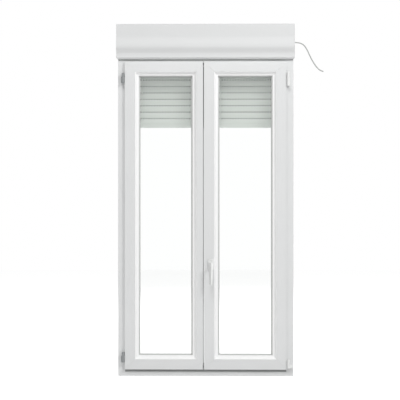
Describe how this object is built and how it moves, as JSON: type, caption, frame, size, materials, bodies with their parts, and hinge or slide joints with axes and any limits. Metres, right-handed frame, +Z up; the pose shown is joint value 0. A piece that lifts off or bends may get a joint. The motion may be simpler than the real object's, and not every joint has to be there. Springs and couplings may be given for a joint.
{
  "type": "double tilt and turn window with roller shutter box",
  "caption": "White plastic window with a tilt and turn leaf beside a turning leaf, and a roller shutter in a box above.",
  "frame": {"origin": "centre of the underside of the frame's sill, midway through the frame's depth", "axes": "+Z up along the jambs, -Y towards the room, +X to the right as seen from the room"},
  "size_m": [1.1751, 0.2265, 1.996],
  "materials": {
    "white_pvc": "smooth gloss",
    "grey_gasket": "matt",
    "clear_glass": "polished",
    "pane_spacer": "satin",
    "glazing_block": "matt",
    "galvanised_steel": "galvanised",
    "white_metal": "powder coat",
    "slat_plastic": "satin",
    "bar_aluminium": "satin",
    "foam": "foam",
    "black_rubber": "matt",
    "cable_sheath": "satin"
  },
  "bodies": {
    "root": {"frame_head": "white_pvc", "frame_sill": "white_pvc", "frame_jamb_left": "white_pvc", "frame_jamb_right": "white_pvc", "frame_seals": "grey_gasket", "frame_keeps": "galvanised_steel", "left_frame_hinges": "white_metal", "right_frame_hinges": "white_metal", "guide_rail_left": "white_pvc", "guide_rail_right": "white_pvc", "box_front_panel": "white_pvc", "box_base_panel": "white_pvc", "box_outer_panel": "white_pvc", "box_top_panel": "white_pvc", "box_end_cap_left": "white_pvc", "box_end_cap_right": "white_pvc", "box_insulation": "foam", "idler_bearing": "glazing_block", "tubular_motor": "galvanised_steel", "cable_grommet": "cable_sheath", "motor_cable": "cable_sheath"},
    "roller": {"roller_tube": "galvanised_steel", "roller_end_plug": "glazing_block", "drive_wheel": "glazing_block", "wound_slats": "slat_plastic"},
    "curtain": {"hanging_slats": "slat_plastic", "bottom_bar": "bar_aluminium", "bottom_bar_stops": "black_rubber"},
    "right_turning_hinge": {"right_corner_hinge": "galvanised_steel"},
    "stay": {"stay_arm": "galvanised_steel"},
    "right_leaf": {"right_top_rail": "white_pvc", "right_bottom_rail": "white_pvc", "right_hinge_stile": "white_pvc", "right_beads": "white_pvc", "right_panes": "clear_glass", "right_pane_spacer": "pane_spacer", "right_glazing_blocks": "glazing_block", "right_seals": "grey_gasket", "right_lock_stile": "white_pvc", "right_gearbox": "galvanised_steel", "handle_rosette": "white_metal", "handle_screws": "galvanised_steel"},
    "handle": {"handle_lever": "white_metal", "handle_spindle": "galvanised_steel"},
    "lock_rod_body": {"lock_rod": "galvanised_steel"},
    "top_rod_body": {"top_rod": "galvanised_steel"},
    "bottom_rod_body": {"bottom_rod": "galvanised_steel"},
    "left_leaf": {"left_top_rail": "white_pvc", "left_bottom_rail": "white_pvc", "left_hinge_stile": "white_pvc", "left_beads": "white_pvc", "left_panes": "clear_glass", "left_pane_spacer": "pane_spacer", "left_glazing_blocks": "glazing_block", "left_seals": "grey_gasket", "left_meeting_stile": "white_pvc", "left_sash_hinges": "white_metal", "left_keeps": "galvanised_steel"},
    "top_bolt_body": {"left_top_bolt": "galvanised_steel"},
    "bottom_bolt_body": {"left_bottom_bolt": "galvanised_steel"}
  },
  "joints": [
    {"name": "right_turn", "type": "hinge", "parent": "root", "child": "right_turning_hinge", "pos_m": [0.47, -0.056, 0.08], "axis": [0, 0, 1], "range_deg": [0, 100]},
    {"name": "right_tilt", "type": "hinge", "parent": "right_turning_hinge", "child": "right_leaf", "pos_m": [0.47, -0.056, 0.044], "axis": [1, 0, 0], "range_deg": [0, 5]},
    {"name": "stay_swing", "type": "hinge", "parent": "right_turning_hinge", "child": "stay", "pos_m": [0.47, -0.056, 1.716], "axis": [0, 0, 1], "range_deg": [0, 21.6]},
    {"name": "handle_turn", "type": "hinge", "parent": "right_leaf", "child": "handle", "pos_m": [0.03, -0.05, 0.637], "axis": [0, -1, 0], "range_deg": [0, 180]},
    {"name": "lock_rod_slide", "type": "slide", "parent": "right_leaf", "child": "lock_rod_body", "axis": [0, 0, 1], "range_m": [0, 0.0361]},
    {"name": "top_rod_slide", "type": "slide", "parent": "right_leaf", "child": "top_rod_body", "axis": [-1, 0, 0], "range_m": [0, 0.0361]},
    {"name": "bottom_rod_slide", "type": "slide", "parent": "right_leaf", "child": "bottom_rod_body", "axis": [-1, 0, 0], "range_m": [0, 0.0361]},
    {"name": "left_turn", "type": "hinge", "parent": "root", "child": "left_leaf", "pos_m": [-0.47, -0.056, 0.1], "axis": [0, 0, -1], "range_deg": [0, 100]},
    {"name": "left_top_bolt_slide", "type": "slide", "parent": "left_leaf", "child": "top_bolt_body", "axis": [0, 0, 1], "range_m": [0, 0.02]},
    {"name": "left_bottom_bolt_slide", "type": "slide", "parent": "left_leaf", "child": "bottom_bolt_body", "axis": [0, 0, -1], "range_m": [0, 0.02]},
    {"name": "shutter_travel", "type": "slide", "parent": "root", "child": "curtain", "axis": [0, 0, 1], "range_m": [-0.065, 0.055]},
    {"name": "roller_spin", "type": "hinge", "parent": "root", "child": "roller", "pos_m": [0, -0.014, 1.914], "axis": [1, 0, 0], "range_deg": [-56, 48]}
  ],
  "couplings": [
    {"joint": "stay_swing", "follows": "right_tilt", "ratio": 4.3},
    {"joint": "lock_rod_slide", "follows": "handle_turn", "m_per_rad": 0.011459},
    {"joint": "top_rod_slide", "follows": "handle_turn", "m_per_rad": 0.011459},
    {"joint": "bottom_rod_slide", "follows": "handle_turn", "m_per_rad": 0.011459},
    {"joint": "roller_spin", "follows": "shutter_travel", "rad_per_m": 14.706}
  ]
}
